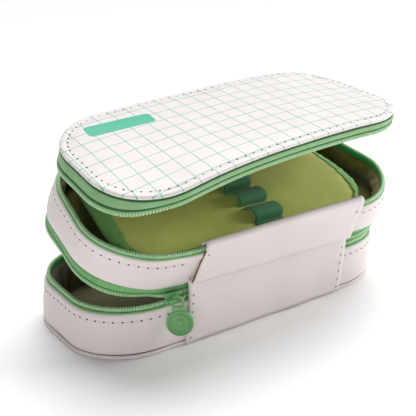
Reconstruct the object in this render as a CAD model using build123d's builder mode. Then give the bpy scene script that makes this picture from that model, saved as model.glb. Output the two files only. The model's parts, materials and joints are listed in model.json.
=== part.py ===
from build123d import *
import os

# A three-level zip pencil case: a lower box, a tray that swings up at its far side, and a lid.
# X runs along the case, Y from the near side to the far side, Z up. The origin is the middle of
# the face that the case rests on. The near side is at -Y.

# Driving sizes, in millimetres
case_length = 203.0
case_depth = 98.5
corner_radius = 35.0
base_wall_top = 26.2
tray_wall_height = 20.8
rim_tape_height = 4.0
tray_skirt_height = 6.8
lid_skirt_height = 8.5

# Opening angles in the stored pose, in degrees
tray_opening = 26.0
lid_opening = 19.0

# Wall layers, from the outside in
skin = 1.4
foam = 1.2
tape = 0.6
lining = 0.8
wall = skin + foam + tape + lining

# Zip sizes
zip_gap = 0.3
coil_height = 1.6
coil_depth = foam
tape_seam = 6.0
zip_tuck = 8.0
stop_length = 2.4

# White panels over the near and the far side
panel_thickness = 1.2
panel_width = 112.0
panel_shift = 8.0
panel_foot = 1.0
fold_gap = 0.35
back_panel_width = 100.0
roll_depth = 4.2
roll_radius = 1.5

# Boards and cloths
base_edge = 3.0
base_edge_radius = 1.6
floor_board = 1.8
lid_inset = 2.6
lid_board = 1.0
lid_cover = 1.0
lid_edge_radius = 1.0
turned_edge = 1.4

# Page with pen loops, inside the tray
page_side_gap = 11.5
page_far_gap = 5.0
page_thickness = 2.4
page_radius_step = 5.0
page_top = 17.2
binding = 0.6
binding_width = 3.0
hinge_tape = 0.6
hinge_tape_height = 5.5
page_clearance = 0.7

# Elastic pen loops
loop_pitch = 13.4
loop_count = 5
loop_height = 7.2
loop_foot = 2.6
loop_clearance = 0.2
strap_width = 18.5
strap_thickness = 0.9
strap_shift = 4.0

# Slider and pull
slider_length = 10.0
slider_width = 7.0
slider_thickness = 2.0
slider_round = 2.4
slider_clearance = 0.3
slider_gap = 2.5
crown_radius = 0.5
crown_length = 9.6
crown_stand = 3.5
crown_leg = 0.9
pull_radius = 7.9
pull_thickness = 2.0
pull_drop = 13.5
pull_ridge = 0.3
pull_ridge_width = 1.0
pull_yaw = 32.0
pull_tilt = 6.0
eye_thickness = 1.4
eye_width = 4.8
eye_height = 4.2
eye_wall = 1.4
eye_rise = 0.9
eye_round = 0.8
neck_share = 0.6
half_share = 0.5
overrun = 20.0

# Heights and places that follow from the sizes above
half_length = case_length / 2
half_depth = case_depth / 2
base_zip = base_wall_top + rim_tape_height
fold_height = base_zip + tray_skirt_height
fold_reach = half_depth + panel_thickness / 2
tray_wall_top = tray_skirt_height + tray_wall_height
tray_zip = tray_wall_top + rim_tape_height
lid_fold = tray_zip + lid_skirt_height
lining_floor = tray_skirt_height + lining + floor_board
page_level = tray_skirt_height + page_top
page_edge = half_depth - wall - hinge_tape - page_clearance
page_half_length = half_length - wall - page_side_gap
page_radius = corner_radius - wall - page_radius_step

# The tray turns about the fold of the near panel, the lid about the fold of the far panel.
tray_fold = Location((0, -fold_reach, fold_height), (tray_opening, 0, 0))
tray_place = tray_fold * Location((0, fold_reach, -tray_skirt_height))
lid_turn = tray_place * Location((0, fold_reach, lid_fold), (-lid_opening, 0, 0))
lid_place = lid_turn * Location((0, -fold_reach, -lid_skirt_height))
base_plane = Plane.XY
tray_plane = Plane(tray_place)
lid_plane = Plane(lid_place)


def outline(inset, mode=Mode.ADD):
    """The case's outline, drawn in from its outer face."""
    RectangleRounded(
        case_length - 2 * inset,
        case_depth - 2 * inset,
        corner_radius - inset,
        mode=mode,
    )


def plate(plane, low, high, inset):
    """A flat layer with the case's outline."""
    with BuildSketch(plane.offset(low)) as layer:
        outline(inset)
    extrude(layer.sketch, amount=high - low)


def ring(plane, low, high, inset, thickness):
    """An upright wall that follows the case's outline."""
    with BuildSketch(plane.offset(low)) as wall_plan:
        outline(inset)
        outline(inset + thickness, mode=Mode.SUBTRACT)
    extrude(wall_plan.sketch, amount=high - low)


def gap_in_ring(plane, low, high, centre, side, width):
    """A gap in a ring on its near side (side -1) or far side (side 1)."""
    with BuildSketch(plane.offset(low)) as gap_plan:
        with Locations((centre, side * half_depth)):
            Rectangle(width, 2 * wall + overrun)
    extrude(gap_plan.sketch, amount=high - low, mode=Mode.SUBTRACT)


def side_sheet(plane, low, high, centre, side, width):
    """A white panel laid on the outside of a long wall."""
    with BuildSketch(plane.offset(low)) as sheet_plan:
        with Locations((centre, side * fold_reach)):
            Rectangle(width, panel_thickness)
    extrude(sheet_plan.sketch, amount=high - low)


def fold_bead(plane, height, centre, side, width):
    """The rounded edge on which a panel turns at its fold."""
    bead_end = Location((centre - width / 2, side * fold_reach, height), (0, 90, 0))
    with BuildSketch(Plane(plane.location * bead_end)) as bead:
        Circle(panel_thickness / 2)
    extrude(bead.sketch, amount=width)


def finish(piece, name):
    """Names a piece and writes it."""
    piece.label = name
    export_step(piece, f"parts/{name}.step")


os.makedirs("parts", exist_ok=True)

# Lower box

with BuildPart() as base_panel:
    plate(base_plane, 0, base_edge, 0)
    low_edges = base_panel.edges().group_by(Axis.Z)[0]
    fillet(low_edges, base_edge_radius)
finish(base_panel.part, "base_panel")

with BuildPart() as base_side_band:
    ring(base_plane, base_edge, base_wall_top, 0, skin)
finish(base_side_band.part, "base_side_band")

with BuildPart() as base_side_foam:
    ring(base_plane, base_edge, base_wall_top, skin, foam)
finish(base_side_foam.part, "base_side_foam")

with BuildPart() as base_lining:
    ring(base_plane, base_edge, base_wall_top, wall - lining, lining)
    plate(base_plane, base_edge, base_edge + lining, wall - lining)
finish(base_lining.part, "base_lining")

with BuildPart() as lower_rim_tape:
    ring(base_plane, base_wall_top - tape_seam, base_zip - zip_gap / 2, skin + foam, tape)
finish(lower_rim_tape.part, "lower_rim_tape")

lower_coil_top = base_zip - zip_gap / 2
lower_coil_gap = panel_width - 2 * zip_tuck
with BuildPart() as lower_rim_coil:
    ring(base_plane, lower_coil_top - coil_height, lower_coil_top, skin, coil_depth)
    gap_in_ring(base_plane, lower_coil_top - coil_height, lower_coil_top, panel_shift, -1, lower_coil_gap)
finish(lower_rim_coil.part, "lower_rim_coil")

stop_offset = (lower_coil_gap - stop_length) / 2
stop_reach = half_depth - skin - coil_depth / 2
with BuildPart() as lower_zip_stops:
    with BuildSketch(base_plane.offset(lower_coil_top - coil_height)):
        with Locations((panel_shift - stop_offset, -stop_reach), (panel_shift + stop_offset, -stop_reach)):
            Rectangle(stop_length, coil_depth)
    extrude(amount=coil_height)
finish(lower_zip_stops.part, "lower_zip_stops")

fold_room = panel_thickness / 2 + fold_gap
with BuildPart() as front_panel_lower:
    side_sheet(base_plane, panel_foot, fold_height - fold_room, panel_shift, -1, panel_width)
finish(front_panel_lower.part, "front_panel_lower")

# Upper tray, drawn in its own tilted frame with its origin on the lower zip

with BuildPart() as tray_side_band:
    ring(tray_plane, tray_skirt_height, tray_wall_top, 0, skin)
finish(tray_side_band.part, "tray_side_band")

with BuildPart() as tray_side_foam:
    ring(tray_plane, tray_skirt_height, tray_wall_top, skin, foam)
finish(tray_side_foam.part, "tray_side_foam")

floor_cloth_top = tray_skirt_height + lining
with BuildPart() as tray_underside_cloth:
    plate(tray_plane, tray_skirt_height, floor_cloth_top, wall - lining)
finish(tray_underside_cloth.part, "tray_underside_cloth")

with BuildPart() as tray_floor_board:
    plate(tray_plane, floor_cloth_top, lining_floor, wall - lining)
finish(tray_floor_board.part, "tray_floor_board")

with BuildPart() as tray_lining:
    ring(tray_plane, lining_floor, tray_wall_top, wall - lining, lining)
    plate(tray_plane, lining_floor, lining_floor + lining, wall - lining)
finish(tray_lining.part, "tray_lining")

with BuildPart() as tray_skirt_tape:
    ring(tray_plane, zip_gap / 2, tray_skirt_height + tape_seam, skin + foam, tape)
finish(tray_skirt_tape.part, "tray_skirt_tape")

with BuildPart() as tray_skirt_coil:
    ring(tray_plane, zip_gap / 2, zip_gap / 2 + coil_height, skin, coil_depth)
    gap_in_ring(tray_plane, zip_gap / 2, zip_gap / 2 + coil_height, panel_shift, -1, lower_coil_gap)
finish(tray_skirt_coil.part, "tray_skirt_coil")

upper_coil_top = tray_zip - zip_gap / 2
upper_coil_gap = back_panel_width - 2 * zip_tuck
tape_foot = tray_wall_top - tape_seam
with BuildPart() as tray_rim_tape:
    ring(tray_plane, tape_foot, upper_coil_top, skin + foam, tape)
    gap_in_ring(tray_plane, tape_foot, upper_coil_top, panel_shift, -1, panel_width)
finish(tray_rim_tape.part, "tray_rim_tape")

with BuildPart() as tray_rim_coil:
    ring(tray_plane, upper_coil_top - coil_height, upper_coil_top, skin, coil_depth)
    gap_in_ring(tray_plane, upper_coil_top - coil_height, upper_coil_top, panel_shift, -1, panel_width)
    gap_in_ring(tray_plane, upper_coil_top - coil_height, upper_coil_top, 0, 1, upper_coil_gap)
finish(tray_rim_coil.part, "tray_rim_coil")

upper_stop_offset = (upper_coil_gap - stop_length) / 2
with BuildPart() as upper_zip_stops:
    with BuildSketch(tray_plane.offset(upper_coil_top - coil_height)):
        with Locations((-upper_stop_offset, stop_reach), (upper_stop_offset, stop_reach)):
            Rectangle(stop_length, coil_depth)
    extrude(amount=coil_height)
finish(upper_zip_stops.part, "upper_zip_stops")

# The near panel goes on up over the tray's wall and rolls in over its rim.
tray_up = Axis(tray_plane.origin, tray_plane.z_dir)
roll_width = panel_thickness + roll_depth
roll_centre = -(half_depth + panel_thickness - roll_width / 2)
with BuildPart() as front_panel_upper:
    side_sheet(tray_plane, tray_skirt_height, tray_wall_top, panel_shift, -1, panel_width)
    fold_bead(tray_plane, tray_skirt_height, panel_shift, -1, panel_width)
    with BuildSketch(tray_plane.offset(tray_wall_top)):
        with Locations((panel_shift, roll_centre)):
            Rectangle(panel_width, roll_width)
    extrude(amount=upper_coil_top - tray_wall_top)
    fillet(front_panel_upper.edges().filter_by(Axis.X).sort_by(tray_up)[-2:], roll_radius)
finish(front_panel_upper.part, "front_panel_upper")

with BuildPart() as back_panel_lower:
    side_sheet(tray_plane, tray_skirt_height, lid_fold - fold_room, 0, 1, back_panel_width)
finish(back_panel_lower.part, "back_panel_lower")

hinge_tape_reach = half_depth - wall - hinge_tape / 2
with BuildPart() as page_hinge_tape:
    with BuildSketch(tray_plane.offset(page_level - hinge_tape_height)):
        with Locations((panel_shift, -hinge_tape_reach)):
            Rectangle(panel_width, hinge_tape)
    extrude(amount=hinge_tape_height)
finish(page_hinge_tape.part, "page_hinge_tape")

# Page: a padded leaf with a bound edge, hinged along the near wall

page_far = half_depth - wall - page_far_gap
page_depth = page_far + page_edge
page_middle = (page_far - page_edge) / 2
page_low = page_level - page_thickness


def leaf_outline(inset, mode=Mode.ADD):
    """The page's outline, drawn in from its bound edge."""
    with Locations((0, page_middle)):
        RectangleRounded(
            2 * (page_half_length - inset),
            page_depth - 2 * inset,
            page_radius - inset,
            mode=mode,
        )


def leaf(low, high, inset, mode=Mode.ADD):
    """A flat layer with the page's outline."""
    with BuildSketch(tray_plane.offset(low)) as leaf_plan:
        leaf_outline(inset)
    extrude(leaf_plan.sketch, amount=high - low, mode=mode)


with BuildPart() as page_board:
    leaf(page_low, page_level, binding)
finish(page_board.part, "page_board")

with BuildPart() as page_binding:
    leaf(page_low - binding, page_level + binding, 0)
    leaf(page_low - binding, page_level + binding, binding_width, mode=Mode.SUBTRACT)
    leaf(page_low, page_level, binding, mode=Mode.SUBTRACT)
finish(page_binding.part, "page_binding")

# The elastic is one strip, drawn in the plane across the page and pushed out to both sides.
strap_turn = Location((strap_shift, 0, page_level), (0, 0, 90)) * Location((0, 0, 0), (90, 0, 0))
strap_plane = Plane(tray_place * strap_turn)
half_foot = loop_foot / 2
strap_near = binding_width + loop_clearance + half_foot - page_edge
strap_far = strap_near + loop_pitch * loop_count
outer_radius = (loop_pitch - loop_foot) / 2
inner_radius = outer_radius - strap_thickness
arch_spring = loop_height - outer_radius
with BuildPart() as pen_loop_strap:
    with BuildSketch(strap_plane):
        with BuildLine():
            Line((strap_near - half_foot, 0), (strap_near - half_foot, strap_thickness))
            Line((strap_near - half_foot, strap_thickness), (strap_near + half_foot, strap_thickness))
            for turn in range(loop_count):
                left = strap_near + loop_pitch * turn + half_foot
                crest = left + outer_radius
                right = crest + outer_radius
                Line((left, strap_thickness), (left, arch_spring))
                ThreePointArc((left, arch_spring), (crest, loop_height), (right, arch_spring))
                Line((right, arch_spring), (right, strap_thickness))
                Line((right, strap_thickness), (right + loop_foot, strap_thickness))
            Line((strap_far + half_foot, strap_thickness), (strap_far + half_foot, 0))
            Line((strap_far + half_foot, 0), (strap_near - half_foot, 0))
        make_face()
        for turn in range(loop_count):
            crest = strap_near + loop_pitch * (turn + half_share)
            with BuildLine():
                Line((crest - inner_radius, 0), (crest - inner_radius, arch_spring))
                ThreePointArc(
                    (crest - inner_radius, arch_spring),
                    (crest, arch_spring + inner_radius),
                    (crest + inner_radius, arch_spring),
                )
                Line((crest + inner_radius, arch_spring), (crest + inner_radius, 0))
                Line((crest + inner_radius, 0), (crest - inner_radius, 0))
            make_face(mode=Mode.SUBTRACT)
    extrude(amount=strap_width / 2, both=True)
finish(pen_loop_strap.part, "pen_loop_strap")

# Lid, drawn in its own frame with its origin on the upper zip

lid_bottom = lid_skirt_height
lid_lining_top = lid_bottom + lining
lid_board_top = lid_lining_top + lid_board
lid_top = lid_board_top + lid_cover
lid_up = Axis(lid_plane.origin, lid_plane.z_dir)
lid_core = lid_inset + turned_edge

with BuildPart() as lid_lining:
    plate(lid_plane, lid_bottom, lid_lining_top, lid_core)
finish(lid_lining.part, "lid_lining")

with BuildPart() as lid_board:
    plate(lid_plane, lid_lining_top, lid_board_top, lid_core)
finish(lid_board.part, "lid_board")

with BuildPart() as lid_cover:
    plate(lid_plane, lid_bottom, lid_top, lid_inset)
    fillet(lid_cover.edges().group_by(lid_up)[-1], lid_edge_radius)
    with BuildSketch(lid_plane.offset(lid_bottom)):
        outline(lid_core)
    extrude(amount=lid_board_top - lid_bottom, mode=Mode.SUBTRACT)
finish(lid_cover.part, "lid_cover")

with BuildPart() as lid_zip_tape:
    ring(lid_plane, zip_gap / 2, lid_bottom, skin + foam, tape)
finish(lid_zip_tape.part, "lid_zip_tape")

with BuildPart() as lid_zip_coil:
    ring(lid_plane, zip_gap / 2, zip_gap / 2 + coil_height, skin, coil_depth)
    gap_in_ring(lid_plane, zip_gap / 2, zip_gap / 2 + coil_height, 0, 1, upper_coil_gap)
finish(lid_zip_coil.part, "lid_zip_coil")

hem_depth = lid_inset + panel_thickness
with BuildPart() as back_panel_upper:
    with BuildSketch(lid_plane.offset(lid_bottom)):
        with Locations((0, half_depth + panel_thickness - hem_depth / 2)):
            Rectangle(back_panel_width, hem_depth)
    extrude(amount=lid_top - lid_edge_radius - lid_bottom)
    fold_bead(lid_plane, lid_bottom, 0, 1, back_panel_width)
finish(back_panel_upper.part, "back_panel_upper")

# Sliders and pulls: a pair of each, alike, one on each zip


def slider_body(place):
    """A slider's face plate and the crown that carries its pull."""
    with BuildSketch(place) as face_plate:
        RectangleRounded(slider_length, slider_width, slider_round)
    extrude(face_plate.sketch, amount=slider_thickness)
    leg_centre = (crown_length - crown_leg) / 2
    with BuildSketch(place.offset(slider_thickness)) as legs:
        with Locations((-leg_centre, 0), (leg_centre, 0)):
            Rectangle(crown_leg, 2 * crown_radius)
    extrude(legs.sketch, amount=crown_stand)
    crown_turn = Location((0, 0, slider_thickness + crown_stand), (0, 90, 0))
    with BuildSketch(Plane(place.location * crown_turn)) as crown:
        Circle(crown_radius)
    extrude(crown.sketch, amount=crown_length / 2, both=True)


def pull_tab(place):
    """A round pull whose eye is turned, so that one side of it passes behind the crown."""
    tilt = Location((0, 0, slider_thickness + crown_stand), (-pull_tilt, 0, 0))
    yaw = Location((0, 0, 0), (0, -pull_yaw, 0))
    hang = Plane(place.location * tilt * yaw)
    disc_plane = hang.offset(-pull_thickness / 2)
    eye_plane = hang.offset(-eye_thickness / 2)
    eye_top = eye_rise + eye_wall
    neck_low = pull_radius * neck_share - pull_drop
    with BuildSketch(disc_plane) as disc:
        with Locations((0, -pull_drop)):
            Circle(pull_radius)
    extrude(disc.sketch, amount=pull_thickness)
    with BuildSketch(eye_plane) as neck:
        with Locations((0, (eye_top + neck_low) / 2)):
            RectangleRounded(eye_width + 2 * eye_wall, eye_top - neck_low, eye_wall)
    extrude(neck.sketch, amount=eye_thickness)
    with BuildSketch(eye_plane) as eye:
        with Locations((0, eye_rise - eye_height / 2)):
            RectangleRounded(eye_width, eye_height, eye_round)
    extrude(eye.sketch, amount=eye_thickness, mode=Mode.SUBTRACT)
    with BuildSketch(disc_plane.offset(pull_thickness)) as ridge:
        with Locations((0, -pull_drop)):
            Circle(pull_radius)
            Circle(pull_radius - pull_ridge_width, mode=Mode.SUBTRACT)
    extrude(ridge.sketch, amount=pull_ridge)


slider_reach = half_depth - skin + slider_clearance
lower_slider_x = panel_shift - panel_width / 2 - slider_gap - slider_length / 2
face_out = Location((0, 0, 0), (90, 0, 0))
lower_slider_spot = Location((lower_slider_x, -slider_reach, base_zip)) * face_out
upper_slider_x = back_panel_width / 2 + slider_gap + slider_length / 2
upper_slider_spot = tray_place * Location((upper_slider_x, slider_reach, tray_zip), (0, 0, 180)) * face_out

with BuildPart() as lower_slider:
    slider_body(Plane(lower_slider_spot))
finish(lower_slider.part, "lower_slider")

with BuildPart() as lower_pull:
    pull_tab(Plane(lower_slider_spot))
finish(lower_pull.part, "lower_pull")

with BuildPart() as upper_slider:
    slider_body(Plane(upper_slider_spot))
finish(upper_slider.part, "upper_slider")

with BuildPart() as upper_pull:
    pull_tab(Plane(upper_slider_spot))
finish(upper_pull.part, "upper_pull")
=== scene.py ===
import json
import math

import bmesh
import bpy
from mathutils import Matrix, Vector, noise


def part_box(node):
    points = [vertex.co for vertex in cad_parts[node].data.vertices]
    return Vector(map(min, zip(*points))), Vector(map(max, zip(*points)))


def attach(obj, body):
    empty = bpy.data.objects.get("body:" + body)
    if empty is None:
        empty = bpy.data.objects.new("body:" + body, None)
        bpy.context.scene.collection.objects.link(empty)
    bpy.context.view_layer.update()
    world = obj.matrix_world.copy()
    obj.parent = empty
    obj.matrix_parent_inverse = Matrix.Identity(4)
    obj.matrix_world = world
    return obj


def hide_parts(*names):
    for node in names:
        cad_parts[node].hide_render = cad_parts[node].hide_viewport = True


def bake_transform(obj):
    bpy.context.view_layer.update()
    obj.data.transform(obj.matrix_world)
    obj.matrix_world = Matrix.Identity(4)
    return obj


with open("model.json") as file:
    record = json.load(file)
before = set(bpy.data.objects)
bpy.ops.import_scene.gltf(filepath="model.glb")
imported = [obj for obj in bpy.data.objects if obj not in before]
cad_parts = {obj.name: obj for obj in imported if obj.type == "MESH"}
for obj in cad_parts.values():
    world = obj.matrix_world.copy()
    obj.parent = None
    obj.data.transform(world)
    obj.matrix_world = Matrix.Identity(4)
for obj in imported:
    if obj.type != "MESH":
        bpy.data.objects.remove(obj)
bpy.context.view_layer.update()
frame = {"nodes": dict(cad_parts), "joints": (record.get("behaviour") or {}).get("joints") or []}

print("frame loaded")

# The case is drawn shut, in its own closed pose, and each level is then turned about its fold.
mm = 0.001
tiny = 1e-6
joints = {joint["name"]: joint for joint in frame["joints"]}
trayFold = Vector(joints["tray_hinge"]["pos_m"])
trayTilt = math.radians(-joints["tray_hinge"]["range_deg"][0])
lidTilt = math.radians(-joints["lid_hinge"]["range_deg"][0])


def inMm(rows):
    return [tuple(value * mm for value in row) for row in rows]


def turnAbout(point, tilt, roll=0.0, yaw=0.0):
    turn = Matrix.Rotation(yaw, 4, "Z") @ Matrix.Rotation(roll, 4, "Y") @ Matrix.Rotation(tilt, 4, "X")
    return Matrix.Translation(point) @ turn @ Matrix.Translation(-point)


def cornersOf(points):
    # the lowest and highest corners of the box round some points
    low = Vector([min(p[axis] for p in points) for axis in range(3)])
    high = Vector([max(p[axis] for p in points) for axis in range(3)])
    return low, high


def shutBox(node, matrix):
    # a node's box with the case shut
    return cornersOf([matrix.inverted() @ v.co for v in frame["nodes"][node].data.vertices])


trayMatrix = turnAbout(trayFold, trayTilt)
lidFold = trayMatrix.inverted() @ Vector(joints["lid_hinge"]["pos_m"])
lidMatrix = trayMatrix @ turnAbout(lidFold, -lidTilt)
trayBand = shutBox("tray_side_band", trayMatrix)
lidBox = shutBox("lid_cover", lidMatrix)
boardBox = shutBox("page_board", trayMatrix)
levels = {
    "baseEdge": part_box("base_panel")[1].z,
    "baseTop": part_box("base_side_band")[1].z,
    "lowerZip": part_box("lower_rim_tape")[1].z,
    "trayLow": trayBand[0].z, "trayTop": trayBand[1].z,
    "trayFloor": shutBox("tray_lining", trayMatrix)[0].z,
    "upperZip": shutBox("tray_rim_tape", trayMatrix)[1].z,
    "lidLow": lidBox[0].z, "lidTop": lidBox[1].z,
    "pageLow": boardBox[0].z, "pageTop": boardBox[1].z,
}
roundCorner = 37.3 * mm
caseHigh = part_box("base_panel")[1]
caseShape = {"halfLength": caseHigh.x - 0.4 * mm, "halfDepth": caseHigh.y, "radius": roundCorner, "middle": 0.0}
lidShape = {"halfLength": 96.4 * mm, "halfDepth": 47.6 * mm, "radius": roundCorner, "middle": 0.0}
pageLow, pageHigh = shutBox("page_binding", trayMatrix)
pageShape = {
    "halfLength": pageHigh.x - 4.2 * mm,
    "halfDepth": (pageHigh.y - pageLow.y) / 2,
    "radius": 23 * mm,
    "middle": (pageHigh.y + pageLow.y) / 2,
}

# Soft goods don't stand quite square: how the open case settles, leans, rolls and curls.
settled = {
    # heights above the ground and how far each sinks, in mm
    "heights": (0.0, 3.0, 26.2, 30.2, 57.8, 61.8, 70.3, 73.1),
    "drops": (0.0, 0.0, -0.4, -0.75, -0.75, -1.55, -1.55, -2.15),
}
lean = {
    "shift": -0.7 * mm, "base": 3.48 / 26, "tray": 0.83 / 27, "roll": math.radians(1.46),
    "bow": -1.0 * mm, "bowReach": 100 * mm,
}
lidSkew = {"shift": Vector((-2.96 * mm, 1.66 * mm, 0)), "yaw": math.radians(2.09)}
lidCurl = {
    "rise": (6.5 * mm, 3.5 * mm, -1.25 * mm),
    "front": (-0.2 * mm, 3.4 * mm, -3.85 * mm),
    "reach": 97 * mm,
    # soft dips: middle, width and depth
    "dips": inMm(((-78, -44, 24, -3.2), (97, 10, 26, -2.6))),
}
traySag = {
    "left": -5.0 * mm, "right": -5.5 * mm, "nearLeft": 2.0 * mm, "squeeze": 5.0 * mm, "spread": 10.0 * mm,
    # where each of these sets in and where it is full
    "far": (-20 * mm, 42 * mm), "ends": (30 * mm, 95 * mm), "near": (-45 * mm, -5 * mm),
    "skirtShare": 0.35, "spreadLift": 0.2, "tallFrom": 2 * mm,
    # soft dents: middle, width, and the shift along and up at the middle
    "dents": inMm((
        (-100, -6, 16, 0.7, 0.6), (-98, 28, 16, 0.0, -0.6), (-50, -49, 15, 0.0, -3.4),
        (94, 36, 24, -2.2, -3.6), (101, 4, 18, -2.2, -2.6),
    )),
}


def smooth(value, start, end):
    share = min(1.0, max(0.0, (value - start) / (end - start)))
    return share * share * (3 - 2 * share)


def hill(x, y, middleX, middleY, width):
    return math.exp(-((x - middleX) ** 2 + (y - middleY) ** 2) / (2 * width * width))


def readTable(height, heights, values):
    # the value at a height, from two rows in mm
    here = min(max(height / mm, heights[0]), heights[-1])
    for low, high, first, second in zip(heights, heights[1:], values, values[1:]):
        if here <= high:
            return (first + (second - first) * (here - low) / (high - low)) * mm
    return values[-1] * mm


def settleAt(height):
    return readTable(height, settled["heights"], settled["drops"])


zipHeight = levels["lowerZip"] + settleAt(levels["lowerZip"])
softTrayFold = trayFold + Vector((0, 0, settleAt(trayFold.z)))
softLidFold = lidFold + Vector((0, 0, settleAt(lidFold.z)))


def leanAt(height):
    below = min(height, zipHeight)
    return lean["shift"] + lean["base"] * below + lean["tray"] * (height - below)


def settle(point):
    return Vector((point.x, point.y, point.z + settleAt(point.z)))


def curve(terms, along):
    return terms[0] + terms[1] * along + terms[2] * along * along


def curlAt(x, y):
    # the unzipped lid lifts towards its right end and droops at its near left corner
    along = x / lidCurl["reach"]
    across = (caseShape["halfDepth"] - y) / (2 * caseShape["halfDepth"])
    lift = curve(lidCurl["rise"], along) + curve(lidCurl["front"], along) * across
    for dipX, dipY, width, depth in lidCurl["dips"]:
        lift += depth * hill(x, y, dipX, dipY, width)
    return lift


def onBase(point):
    soft = settle(point)
    soft.x += leanAt(soft.z)
    return soft


def placeTray(soft, share=1.0):
    bow = lean["bow"] * (soft.x / lean["bowReach"]) ** 2 * share
    soft = Vector((soft.x + leanAt(soft.z), soft.y, soft.z + bow))
    return turnAbout(softTrayFold, trayTilt * share, lean["roll"] * share) @ soft


def sagTray(soft):
    # the far corners of the open tray droop and are drawn in, its near left corner stands up
    far = smooth(soft.y, *traySag["far"])
    left, right = smooth(-soft.x, *traySag["ends"]), smooth(soft.x, *traySag["ends"])
    tall = smooth(soft.z, zipHeight - traySag["tallFrom"], levels["upperZip"])
    lift = (traySag["left"] * left + traySag["right"] * right) * far
    lift += traySag["nearLeft"] * left * (1 - smooth(soft.y, *traySag["near"]))
    drawn = traySag["skirtShare"] + (1 - traySag["skirtShare"]) * tall
    squeeze = traySag["squeeze"] * far * (left - right) * drawn
    spread = traySag["spread"] * right * (1 - tall) * (1 - far)
    lift += traySag["spreadLift"] * spread
    for dentX, dentY, width, shift, rise in traySag["dents"]:
        share = hill(soft.x, soft.y, dentX, dentY, width)
        spread += shift * share
        lift += rise * share
    return soft + Vector((squeeze + spread, 0, lift))


def onTray(point):
    return placeTray(sagTray(settle(point)))


def openLid(point, share=1.0, turn=1.0):
    soft = settle(point)
    soft.z += curlAt(point.x, point.y) * share
    soft = turnAbout(softLidFold, -lidTilt * turn, 0.0, lidSkew["yaw"] * share) @ soft
    return soft + lidSkew["shift"] * share


def onLid(point):
    return placeTray(openLid(point))


# Materials


def shade(red, green, blue):
    # a colour as seen on screen, made linear
    linear = [((c / 255 + 0.055) / 1.055) ** 2.4 if c > 10 else c / 255 / 12.92 for c in (red, green, blue)]
    return (*linear, 1.0)


def addNode(tree, kind, settings=None, **inputs):
    # an input is named, or "in" and its number where several share a name
    made = tree.nodes.new(kind)
    for key, value in (settings or {}).items():
        setattr(made, key, value)
    for key, value in inputs.items():
        numbered = key[:2] == "in" and key[2:].isdigit()
        socket = made.inputs[int(key[2:])] if numbered else made.inputs[key]
        if isinstance(value, bpy.types.NodeSocket):
            tree.links.new(value, socket)
        else:
            socket.default_value = value
    return made


def calc(tree, operation, first, second=0.0):
    return addNode(tree, "ShaderNodeMath", {"operation": operation}, in0=first, in1=second).outputs[0]


def plus(tree, first, second):
    return calc(tree, "ADD", first, second)


def times(tree, first, second):
    return calc(tree, "MULTIPLY", first, second)


def mixColour(tree, factor, first, second):
    made = addNode(tree, "ShaderNodeMix", {"data_type": "RGBA"}, in0=factor, in6=first, in7=second)
    return made.outputs[2]


def colourBy(tree, shader, factor, first, second):
    tree.links.new(mixColour(tree, factor, first, second), shader.inputs["Base Color"])


def startMaterial(name, roughness=0.5, sheen=0.0, specular=0.5):
    material = bpy.data.materials.new(name)
    material.use_nodes = True
    tree = material.node_tree
    shader = tree.nodes["Principled BSDF"]
    shader.inputs["Roughness"].default_value = roughness
    shader.inputs["Sheen Weight"].default_value = sheen
    shader.inputs["Specular IOR Level"].default_value = specular
    return material, tree, shader, addNode(tree, "ShaderNodeTexCoord")


def grainNoise(tree, coords, size, detail=3.0):
    place = coords.outputs["Object"]
    return addNode(tree, "ShaderNodeTexNoise", Vector=place, Scale=1.0 / size, Detail=detail).outputs["Fac"]


def addBump(tree, shader, height, depth, strength):
    bump = addNode(tree, "ShaderNodeBump", Strength=strength, Distance=depth, Height=height)
    tree.links.new(bump.outputs["Normal"], shader.inputs["Normal"])


def uvParts(tree):
    # distance along the piece and across it, in metres
    where = addNode(tree, "ShaderNodeUVMap", {"uv_map": "UVMap"})
    parts = addNode(tree, "ShaderNodeSeparateXYZ", Vector=where.outputs["UV"])
    return parts.outputs["X"], parts.outputs["Y"]


def sineOf(tree, value, period):
    return calc(tree, "SINE", times(tree, value, 2 * math.pi / period))


leatherLook = {
    "pebble": 0.75 * mm, "crease": 9 * mm, "cloud": 38 * mm, "depth": 0.16 * mm, "strength": 0.55,
    "pebbleShare": 0.25, "creaseShare": 1.6, "cloudShare": 0.34, "dusk": shade(206, 188, 186),
    "gloss": 0.32, "glossShare": 0.22,
}


def leatherSkin(name, base):
    # fine pebbled grain, faint creases and slightly uneven gloss
    look = leatherLook
    material, tree, shader, coords = startMaterial(name, specular=0.4)
    cells = addNode(tree, "ShaderNodeTexVoronoi", Vector=coords.outputs["Object"], Scale=1.0 / look["pebble"])
    crease = grainNoise(tree, coords, look["crease"], 5.0)
    cloud = grainNoise(tree, coords, look["cloud"], 2.0)
    pebble = times(tree, cells.outputs["Distance"], look["pebbleShare"])
    height = plus(tree, pebble, times(tree, crease, look["creaseShare"]))
    addBump(tree, shader, height, look["depth"], look["strength"])
    colourBy(tree, shader, times(tree, cloud, look["cloudShare"]), base, look["dusk"])
    gloss = plus(tree, times(tree, crease, look["glossShare"]), look["gloss"])
    tree.links.new(gloss, shader.inputs["Roughness"])
    return material, tree, shader, coords


gridPrint = {
    "pitch": 10 * mm, "line": 0.62 * mm, "left": -94.2 * mm, "near": -42.3 * mm, "ink": shade(92, 188, 158),
    "wear": 2.5 * mm, "wearShare": 0.5, "full": 0.55,
}
labelPrint = {
    "middle": (-56.9 * mm, 26.4 * mm), "half": (19.3 * mm, 6.2 * mm), "turn": math.radians(-6),
    "round": 2.8 * mm, "ink": shade(66, 184, 152),
}


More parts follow.
